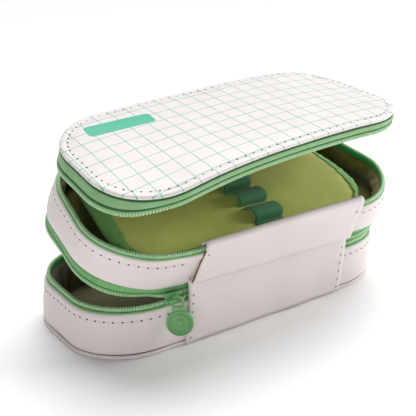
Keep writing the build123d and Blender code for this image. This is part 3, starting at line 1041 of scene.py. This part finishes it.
def lidParts():
    low, top = levels["lidLow"], levels["lidTop"]
    middle, half = (low + top) / 2, (top - low) / 2
    steps = stepsAt(lid["seam"], low=low)
    for index in range(lid["edgeSteps"] + 1):
        angle = math.radians(lid["edgeArc"] * (2 * index / lid["edgeSteps"] - 1))
        steps.append((half * (1 - math.cos(angle)), middle + half * math.sin(angle)))
    steps += stepsAt(lid["top"], top=top)

    def warp(along, number):
        wave = ripple(outlinePoint(lidShape, along)[0], 19 * mm, 0.3 * mm, 12.0)
        return (0.0, wave if 1 < number < 13 else 0.0)

    bm = sweepOutline(lidShape, steps, count=240, closed=False, warp=warp)
    fillHoles(bm, lambda place: place.z > middle)
    fillHoles(bm)
    cutAcross(bm, 0, lid["cutsAlong"], lambda face: len(face.verts) > 4)
    cutAcross(bm, 1, lid["cutsAcross"], lambda face: face.calc_area() > lid["wide"])
    flatUv(bm)
    piece = makePiece(bm, "lidCover", printed, onLid, angle=60)
    finishPiece(piece, "lid", "printed_leather", "lid_cover", "lid_board")

    bm = sweepOutline(lidShape, stepsAt(lining["lid"], low=low), closed=False)
    fillHoles(bm, lambda place: place.z < low - 0.6 * mm and abs(place.y) < 25 * mm)
    cutAcross(bm, 0, lid["cutsAlong"], lambda face: len(face.verts) > 4)
    flatUv(bm)
    clothPiece(bm, "lidLining", oliveCloth, onLid, "lid", "lid_lining")
    print("lid made")


# Page with pen loops

page = {
    "shift": Vector((-4.6 * mm, 0, 0)), "fill": 0.5, "puff": 1.3 * mm, "puffReach": 6,
    "edge": ((1.2, "low", 0.5), (0.9, "middle", 0.0), (1.2, "top", -0.3), (2.6, "top", 0.1)),
    "rings": (4, 6, 9, 13, 17, 21),
}
binding = {
    "section": (
        (2.9, "low", -0.35), (1.2, "low", -0.5), (0.2, "low", -0.1), (0.0, "middle", 0.0), (0.3, "top", 0.5),
        (1.4, "top", 1.1), (2.6, "top", 1.45), (3.3, "top", 1.55), (3.3, "top", 0.5), (1.4, "top", -0.2),
        (1.3, "low", 0.3),
    ),
    # the ruffle is free to the right, and the tape is wider to the left and away from the roll
    "right": (30 * mm, 60 * mm), "left": (30 * mm, 70 * mm), "away": (2 * mm, 20 * mm),
    "wideRight": 2.2 * mm, "wideLeft": 4.6 * mm, "narrow": 1.6 * mm,
    "widthShares": {5: 0.35, 6: 0.7, 7: 1.0, 8: 1.0},
    "wave": (0.9 * mm, 0.22 * mm), "inner": (1.3 * mm, 0.4 * mm),
}
hingeTape = {"thick": 0.5 * mm, "lean": 0.1 * mm, "foot": 2 * mm, "head": 1 * mm, "cuts": 40}
strap = {"skew": -0.165, "aside": 0.5 * mm, "from": 8 * mm, "up": 0.4 * mm}
loops = {
    "count": 5, "pitch": 13.4 * mm, "foot": 2.6 * mm, "tall": 7.0 * mm, "thick": 0.85 * mm,
    "width": 18.5 * mm, "middle": 4 * mm, "slouch": 1.6 * mm,
}


def onPage(point):
    return onTray(point + page["shift"])


def onStrap(point):
    # the strap runs a little askew, as it is sewn
    skew = strap["aside"] + strap["skew"] * (point.y - pageLow.y - strap["from"])
    return onTray(point + Vector((skew, 0, strap["up"])))


def pageParts():
    low, top = levels["pageLow"], levels["pageTop"]
    heights = {"low": low, "middle": (low + top) / 2, "top": top}
    steps = stepsAt(page["edge"], **heights)
    for ring in page["rings"]:
        steps.append((ring * mm, top + page["puff"] * (1 - math.exp(-ring / page["puffReach"]))))

    def warp(along, number):
        lift = ripple(outlinePoint(pageShape, along, 10 * mm)[0], 30 * mm, 0.6 * mm, 20.0)
        return (0.0, lift if 4 < number < 9 else 0.0)

    bm = sweepOutline(pageShape, steps, closed=False, warp=warp)
    fillHoles(bm, lambda place: place.z > top)
    fillHoles(bm)
    flatUv(bm)
    piece = makePiece(bm, "pagePad", pageCloth, onPage, angle=75)
    finishPiece(piece, "page", "lining", "page_board")

    def ruffle(along, number):
        point, outward = outlinePoint(pageShape, along)
        free, left = smooth(point.x, *binding["right"]), smooth(-point.x, *binding["left"])
        away = smooth(point.y - pageLow.y, *binding["away"])
        (wavePitch, waveDepth), (innerPitch, innerDepth) = binding["wave"], binding["inner"]
        wave = math.sin(along / wavePitch) * waveDepth + ripple(point, 3 * mm, 0.5 * mm, 30.0)
        inner = innerDepth * math.sin(along / innerPitch) if 4 < number < 9 else 0.0
        wide = (binding["wideRight"] * free + binding["wideLeft"] * left) * away - binding["narrow"] * (1 - away)
        wide *= binding["widthShares"].get(number, 0.0)
        return (inner * free + wide, wave * free if 2 < number < 7 else 0.0)

    bm = sweepOutline(pageShape, stepsAt(binding["section"], **heights), count=420, warp=ruffle)
    piece = makePiece(bm, "pageBinding", bindingCloth, onPage, angle=70)
    finishPiece(piece, "page", "binding", "page_binding")

    # the tape that sews the page in under the rolled edge
    low, high = shutBox("page_hinge_tape", trayMatrix)
    foot, head = (low.y + high.y) / 2, (low.y + high.y) / 2 + hingeTape["lean"]
    route = [(foot, low.z), (foot, low.z + hingeTape["foot"]), (head, high.z - hingeTape["head"]), (head, high.z)]
    bm = sweepRow(low.x, high.x, hingeTape["cuts"], route)
    piece = makePiece(bm, "pageHingeTape", bindingCloth, onTray, angle=70)
    thicken(piece, hingeTape["thick"])
    finishPiece(piece, "tray", "binding", "page_hinge_tape")


def penLoops():
    low = shutBox("pen_loop_strap", trayMatrix)[0]
    base, near = low.z + loops["thick"] / 2, low.y
    half = (loops["pitch"] - loops["foot"]) / 2 - loops["thick"] / 2
    crown = base + loops["tall"] - half - loops["thick"] / 2
    waist = base + (crown - base) * 0.5
    route = [(near, base), (near + loops["foot"] / 2, base)]
    for turn in range(loops["count"]):
        start = near + loops["foot"] + loops["pitch"] * turn
        centre = start + loops["thick"] / 2 + half
        slouch = loops["slouch"] * (1 + 0.4 * math.sin(turn * 2.1))
        route += [(start - 0.3 * mm, base), (start + 0.2 * mm, base + 0.5 * mm), (centre - half - 0.1 * mm, waist)]
        for index in range(13):
            angle = math.pi - math.pi * index / 12
            lift = math.sin(angle)
            y = centre + half * math.cos(angle) - slouch * lift * 0.6
            route.append((y, crown + half * lift - loops["thick"] / 2))
        end = centre + half
        route += [(end + 0.1 * mm, waist), (end + 0.5 * mm, base + 0.5 * mm), (end + 1.0 * mm, base)]
    route.append((near + loops["pitch"] * loops["count"] + loops["foot"], base))
    middle, width = loops["middle"], loops["width"]
    bm = sweepRow(middle - width / 2, middle + width / 2, 10, route)
    uvLayer = bm.loops.layers.uv.active
    for face in bm.faces:
        for loop in face.loops:
            loop[uvLayer].uv = loop[uvLayer].uv.yx
    piece = makePiece(bm, "penLoops", elasticCloth, onStrap, angle=80)
    thicken(piece, loops["thick"])
    finishPiece(piece, "page", "elastic", "pen_loop_strap")
    print("page made")


# Sliders and pulls

slider = {
    "length": 10 * mm, "width": 7 * mm, "thick": 2.0 * mm, "stand": 3.5 * mm, "wire": 0.8 * mm, "crown": 8.6 * mm,
    "shoulder": 1.1 * mm, "shoulderAngles": (0.3, 0.7, 1.1, 1.5), "crownFoot": 1.5 * mm,
    "railWidth": 0.9 * mm, "seat": (3.0 * mm, 3.6 * mm, 1.0 * mm),
}
pull = {
    "yaw": math.radians(32), "tilt": math.radians(6), "disc": 0.93, "drop": 13.5 * mm, "tuck": 0.5 * mm,
    # the disc's section in mm, turned about its middle: rounded rim, raised rings and a shallow dish
    "section": (
        (0.0, -1.0), (6.9, -1.0), (7.5, -0.8), (7.85, -0.4), (7.9, 0.2), (7.75, 0.75), (7.45, 1.2), (7.1, 1.3),
        (6.7, 1.15), (6.4, 0.7), (5.7, 0.7), (5.4, 1.1), (4.95, 1.14), (4.65, 0.75), (2.6, 0.7), (2.2, 1.08),
        (1.2, 1.14), (0.0, 1.14),
    ),
    "eyeWidth": 4.8 * mm, "eyeHeight": 4.2 * mm, "eyeWall": 1.4 * mm, "eyeCorner": 2.3 * mm, "eyeTaper": 0.16,
    "rise": 0.9 * mm, "neck": (4.4 * mm, 1.4 * mm), "neckDrop": 1.5 * mm,
}


def sliderMatrix(joint, matrix, turn):
    # the crown's middle is the slider's origin; X along the zip, Z away from the wall
    place = matrix.inverted() @ Vector(joints[joint]["pos_m"])
    return Matrix.Translation(place) @ Matrix.Rotation(turn, 4, "Z") @ Matrix.Rotation(math.pi / 2, 4, "X")


def tubeAlong(bm, points, radius, sides):
    # a round wire through a few points, closed at both ends
    matrices = []
    for index, point in enumerate(points):
        ahead = points[min(index + 1, len(points) - 1)] - points[max(index - 1, 0)]
        matrices.append(Matrix.Translation(point) @ ahead.to_track_quat("Z", "Y").to_matrix().to_4x4())
    made = bmesh.ops.create_circle(bm, cap_ends=True, radius=radius, segments=sides, matrix=matrices[0])["verts"]
    edges = once(e for v in made for e in v.link_edges)
    for old, new in zip(matrices, matrices[1:]):
        verts, edges, faces = grow(bm, edges)
        bmesh.ops.transform(bm, matrix=new @ old.inverted(), verts=verts)
    bmesh.ops.holes_fill(bm, edges=edges, sides=0)


def blockAt(bm, size, place, bevel, segments=3):
    made = bmesh.ops.create_cube(bm, size=1.0)["verts"]
    bmesh.ops.scale(bm, vec=size, verts=made)
    bmesh.ops.translate(bm, vec=place, verts=made)
    edges = once(e for v in made for e in v.link_edges)
    bmesh.ops.bevel(bm, geom=edges, offset=bevel, segments=segments, profile=0.5, affect="EDGES", material=-1)


def sliderPiece(name, body, node, place):
    length, width, thick = slider["length"], slider["width"], slider["thick"]
    low = -slider["stand"] - thick
    bm = bmesh.new()
    # the face plate, broad towards the open side and drawn in at its waist
    blockAt(bm, (length, width, thick * 0.62), (0, 0, low + thick * 0.62), 0.55 * mm)
    for vert in bm.verts:
        vert.co.y *= 1 - 0.22 * smooth(vert.co.x, -1 * mm, 4.5 * mm) - 0.1 * smooth(-vert.co.x, 2 * mm, 5 * mm)
    rail = (width / 2 - 0.5 * mm) * 0.82
    for side in (-1, 1):
        size = (length * 0.66, slider["railWidth"], thick * 0.7)
        blockAt(bm, size, (-0.4 * mm, side * rail, low + thick * 0.85), 0.3 * mm, 2)
    blockAt(bm, slider["seat"], (0, 0, low + thick * 1.05), 0.35 * mm)
    # the crown, a wire arch that the pull hangs from
    half, bend = slider["crown"] / 2, slider["shoulder"]
    points = [Vector((-half, 0, low + thick * 0.6)), Vector((-half, 0, -slider["crownFoot"]))]
    for angle in slider["shoulderAngles"]:
        points.append(Vector((-half + bend * (1 - math.cos(angle)), 0, bend * (math.sin(angle) - 1))))
    points += [Vector((-p.x, 0, p.z)) for p in reversed(points)]
    tubeAlong(bm, points, slider["wire"], 10)
    finishPiece(makePiece(bm, name, enamel, place, angle=45), body, "slider_metal", node)


def eyeMesh(top, bottom):
    # a rounded loop of thick rubber, narrower at its top
    side, corner = (pull["eyeWidth"] + pull["eyeWall"]) / 2, pull["eyeCorner"]
    points = []
    for quarter, (x, y) in enumerate(((1, 1), (-1, 1), (-1, -1), (1, -1))):
        centreX = x * (side - corner)
        centreY = top - corner if y > 0 else bottom + corner
        for step in range(5):
            angle = math.radians(90 * quarter + 22.5 * step)
            point = Vector((centreX + corner * math.cos(angle), centreY + corner * math.sin(angle), 0))
            point.x *= 1.0 - pull["eyeTaper"] * smooth(point.y, bottom, top)
            points.append(point)
    bm = bmesh.new()
    tubeAlong(bm, points + points[:2], pull["eyeWall"] / 2, 12)
    return meshFrom(bm, "eye")


def pullPiece(name, body, node, place):
    bm = bmesh.new()
    verts = [bm.verts.new((x, 0, z)) for x, z in inMm(pull["section"])]
    for ends in zip(verts, verts[1:]):
        bm.edges.new(ends)
    bmesh.ops.spin(
        bm, geom=bm.verts[:] + bm.edges[:], cent=(0, 0, 0), axis=(0, 0, 1), angle=2 * math.pi, steps=56,
        use_merge=True, use_duplicate=False,
    )
    bmesh.ops.remove_doubles(bm, verts=bm.verts, dist=tiny)
    bmesh.ops.scale(bm, vec=(pull["disc"], pull["disc"], 1), verts=bm.verts)
    bmesh.ops.translate(bm, vec=(0, pull["tuck"] - pull["drop"], 0), verts=bm.verts)
    top = pull["rise"] + pull["eyeWall"] / 2
    bottom = pull["rise"] - pull["eyeHeight"] - pull["eyeWall"] / 2
    bm.from_mesh(eyeMesh(top, bottom))
    neckLength, neckThick = pull["neck"]
    size = (pull["eyeWidth"] + pull["eyeWall"] * 1.5, neckLength, neckThick)
    blockAt(bm, size, (0, bottom - pull["neckDrop"], 0), 0.5 * mm)
    hangs = Matrix.Rotation(-pull["tilt"], 4, "X") @ Matrix.Rotation(-pull["yaw"], 4, "Y")
    bmesh.ops.transform(bm, matrix=hangs, verts=bm.verts)
    finishPiece(makePiece(bm, name, rubber, place, angle=45), body, "pull_rubber", node)


def sliderSets():
    lower = sliderMatrix("lower_pull_swing", Matrix.Identity(4), 0.0)
    upper = sliderMatrix("upper_pull_swing", trayMatrix, math.pi)
    lowerShift = Vector((leanAt(zipHeight) - 2.2 * mm, 0, 0.3 * mm))
    upperShift = Vector((leanAt(levels["upperZip"]) + 1.4 * mm, 0, 0))

    def onLower(point):
        return lower @ point + lowerShift

    def onUpper(point):
        return trayMatrix @ (upper @ point + upperShift)

    sliderPiece("lowerSlider", "lower_slider", "lower_slider", onLower)
    pullPiece("lowerPull", "lower_pull", "lower_pull", onLower)
    sliderPiece("upperSlider", "upper_slider", "upper_slider", onUpper)
    pullPiece("upperPull", "upper_pull", "upper_pull", onUpper)
    print("sliders made")


# Stitches

stitch = {
    "pitch": 5.0 * mm, "length": 3.0 * mm, "thick": 0.5 * mm, "hole": 0.6 * mm, "sunk": 0.05 * mm,
    "row": 4.3 * mm, "lidRow": 4.4 * mm, "lidSunk": 0.1 * mm, "beside": 4 * mm,
    # the rows down the front panel: how far from its ends, and the heights left free
    "panelInset": 2.6 * mm, "foot": 4 * mm, "head": 2 * mm, "belowFold": 7 * mm, "aboveFold": 3.5 * mm,
}


def stitchMesh():
    bm = bmesh.new()
    yarn = bmesh.ops.create_icosphere(bm, subdivisions=1, radius=0.5)["verts"]
    bmesh.ops.scale(bm, vec=(stitch["length"], stitch["thick"], stitch["thick"] * 0.4), verts=yarn)
    bmesh.ops.translate(bm, vec=(stitch["pitch"] / 2, 0, 0), verts=yarn)
    # a flat dark blob over each needle hole, as painted shade
    hole = bmesh.ops.create_icosphere(bm, subdivisions=1, radius=stitch["hole"])["verts"]
    bmesh.ops.scale(bm, vec=(1.2, 0.9, 0.4), verts=hole)
    for face in once(f for v in hole for f in v.link_faces):
        face.material_index = 1
    return meshFrom(bm, "stitch")


def stitchRow(name, body, frames, place, slot="white_leather"):
    piece = makePiece(repeatMesh(stitchMesh(), frames), name, [thread, holeShade], place)
    finishPiece(piece, body, slot)


def frameAt(point, tangent, outward):
    return Matrix.Translation(point) @ Matrix((tangent, outward.cross(tangent), outward)).transposed().to_4x4()


def rowFrames(inset, height, gaps=(), shape=caseShape, warp=None, flat=False):
    frames = []
    for point, outward, heading in placesRound(shape, stitch["pitch"], inset, gaps, warp):
        up = Vector((0, 0, 1)) if flat else outward
        frames.append(frameAt(Vector((point.x, point.y, height)), heading, up))
    return frames


def stitches():
    front = (frontPanel["low"] - stitch["beside"], frontPanel["high"], -1)
    back = (backPanel["low"] - stitch["beside"], backPanel["high"], 1)
    frames = rowFrames(stitch["sunk"], levels["baseTop"] - stitch["row"], [front], warp=baseWarp)
    stitchRow("baseStitches", "case_base", frames, onBase)
    frames = rowFrames(stitch["sunk"], levels["trayTop"] - stitch["row"], [front, back], warp=trayWarp)
    stitchRow("trayStitches", "tray", frames, onTray)
    frames = rowFrames(stitch["lidRow"], levels["lidTop"] - stitch["lidSunk"], shape=lidShape, flat=True)
    stitchRow("lidStitches", "lid", frames, onLid, "printed_leather")

    lower, upper = [], []
    face = trayFold.y - frontPanel["thick"] / 2 + stitch["sunk"]
    for x in (frontPanel["low"] + stitch["panelInset"], frontPanel["high"] - stitch["panelInset"]):
        z = stitch["foot"]
        while z < levels["trayTop"] - stitch["head"]:
            here = frameAt(Vector((x, face, z)), Vector((0, 0, 1)), Vector((0, -1, 0)))
            if z < trayFold.z - stitch["belowFold"]:
                lower.append(here)
            elif z > trayFold.z + stitch["aboveFold"]:
                upper.append(here)
            z += stitch["pitch"]
    stitchRow("frontStitchesLower", "case_base", lower, onFront)
    stitchRow("frontStitchesUpper", "tray", upper, onFront)
    print("stitches made")


# Hidden pieces

floorBoard = {"underside": 1.4 * mm, "edges": (30 * mm, 5.2 * mm, 4.9 * mm), "chamfer": 0.2 * mm}


def dressHidden():
    low, high = (corner.z for corner in shutBox("tray_floor_board", trayMatrix))
    inner, edge, rim = floorBoard["edges"]
    under = low + floorBoard["underside"]
    steps = [(inner, under), (edge, low + floorBoard["chamfer"]), (rim, (low + high) / 2), (edge, high), (inner, high)]
    bm = sweepOutline(caseShape, steps, closed=False)
    for level in (under, high):
        fillHoles(bm, lambda place: abs(place.z - level) < tiny)
    finishPiece(makePiece(bm, "trayFloorBoard", greyBoard, onTray), "tray", "board", "tray_floor_board")
    for node in ("lower_zip_stops", "upper_zip_stops"):
        mesh = frame["nodes"][node].data
        mesh.materials.clear()
        mesh.materials.append(stopMetal)
    print("hidden pieces made")


# Floor, light and camera

studio = {
    "floor": shade(252, 252, 252), "floorHalf": 25.0, "world": 0.14, "aim": Vector((0, 0, 0.04)),
    "sky": 3.0, "skyFrom": Vector((0.35, 0.35, 1.0)), "skySpread": math.radians(45),
    "key": 5.0, "keyPlace": (0.8, -0.3, 0.34), "keySize": 0.4,
    "fill": 2.1, "fillPlace": (-0.7, -0.6, 0.3), "fillSize": 0.6,
}
cameraSet = {
    "place": (-258.8 * mm, -421.9 * mm, 242.4 * mm), "azimuth": math.radians(31.516),
    "elevation": math.radians(21.003), "roll": math.radians(-2.832), "lens": 77.89,
    "sensor": 36.0, "nearest": 0.01,
}


def addLamp(name, kind, power, direction):
    light = bpy.data.lights.new(name, kind)
    light.energy = power
    lamp = addObject(name, light)
    lamp.rotation_euler = direction.to_track_quat("-Z", "Y").to_euler()
    return light, lamp


def softBox(name, place, size, power):
    light, lamp = addLamp(name, "AREA", power, studio["aim"] - Vector(place))
    light.shape = "RECTANGLE"
    light.size = light.size_y = size
    lamp.location = place


def makeStudio():
    bm = bmesh.new()
    bmesh.ops.create_grid(bm, x_segments=1, y_segments=1, size=studio["floorHalf"])
    floor = addObject("floor", meshFrom(bm, "floor"))
    paper, tree, shader, coords = startMaterial("floor_paper", roughness=0.9, specular=0.1)
    shader.inputs["Base Color"].default_value = studio["floor"]
    floor.data.materials.append(paper)
    world = bpy.data.worlds.new("studio")
    world.use_nodes = True
    background = world.node_tree.nodes["Background"]
    background.inputs["Color"].default_value = (1, 1, 1, 1)
    background.inputs["Strength"].default_value = studio["world"]
    bpy.context.scene.world = world
    bpy.context.scene.view_settings.view_transform = "Standard"
    softBox("keyLight", studio["keyPlace"], studio["keySize"], studio["key"])
    softBox("fillLight", studio["fillPlace"], studio["fillSize"], studio["fill"])
    light, lamp = addLamp("skyLight", "SUN", studio["sky"], -studio["skyFrom"])
    light.angle = studio["skySpread"]


def makeCamera():
    data = bpy.data.cameras.new("camera")
    data.lens = cameraSet["lens"]
    data.sensor_width = cameraSet["sensor"]
    data.dof.use_dof = False
    data.clip_start = cameraSet["nearest"]
    camera = addObject("camera", data)
    azimuth, elevation, roll = cameraSet["azimuth"], cameraSet["elevation"], cameraSet["roll"]
    level = math.cos(elevation)
    back = Vector((-math.sin(azimuth) * level, -math.cos(azimuth) * level, math.sin(elevation)))
    right = (-back).cross(Vector((0, 0, 1))).normalized()
    up = right.cross(-back)
    turnedRight = right * math.cos(roll) + up * math.sin(roll)
    turnedUp = -right * math.sin(roll) + up * math.cos(roll)
    turn = Matrix((turnedRight, turnedUp, back)).transposed().to_4x4()
    camera.matrix_world = Matrix.Translation(cameraSet["place"]) @ turn
    bpy.context.scene.camera = camera
    print("studio made")


makeStudio()
makeCamera()
baseParts()
trayParts()
zipParts()
liningParts()
frontPanelPiece()
backPanelPiece()
lidParts()
pageParts()
penLoops()
sliderSets()
stitches()
dressHidden()
